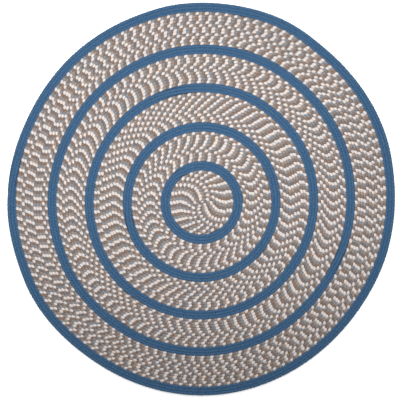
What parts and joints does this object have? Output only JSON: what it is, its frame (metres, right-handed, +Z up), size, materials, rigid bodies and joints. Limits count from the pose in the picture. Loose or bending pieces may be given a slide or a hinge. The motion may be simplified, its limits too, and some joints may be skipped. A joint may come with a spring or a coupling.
{
  "type": "braided rug",
  "caption": "Round flat rug of coiled and laced braid, with wide tweed bands between thin plain blue rings.",
  "frame": {"origin": "middle of the rug's box, on the underside that lies on the floor", "axes": "+Z up out of the rug's face, +Y towards the top of the picture, +X towards its right"},
  "size_m": [1.8244, 1.8472, 0.011],
  "materials": {
    "tweed_braid": "matt wool-like yarn, cream, tan and slate strands",
    "blue_braid": "matt wool-like yarn, one blue"
  },
  "bodies": {
    "root": {"tweed_core": "tweed_braid", "blue_ring_1": "blue_braid", "tweed_band_1": "tweed_braid", "blue_ring_2": "blue_braid", "tweed_band_2": "tweed_braid", "blue_ring_3": "blue_braid", "tweed_band_3": "tweed_braid", "blue_ring_4": "blue_braid", "tweed_band_4": "tweed_braid", "blue_ring_5": "blue_braid"}
  },
  "joints": []
}
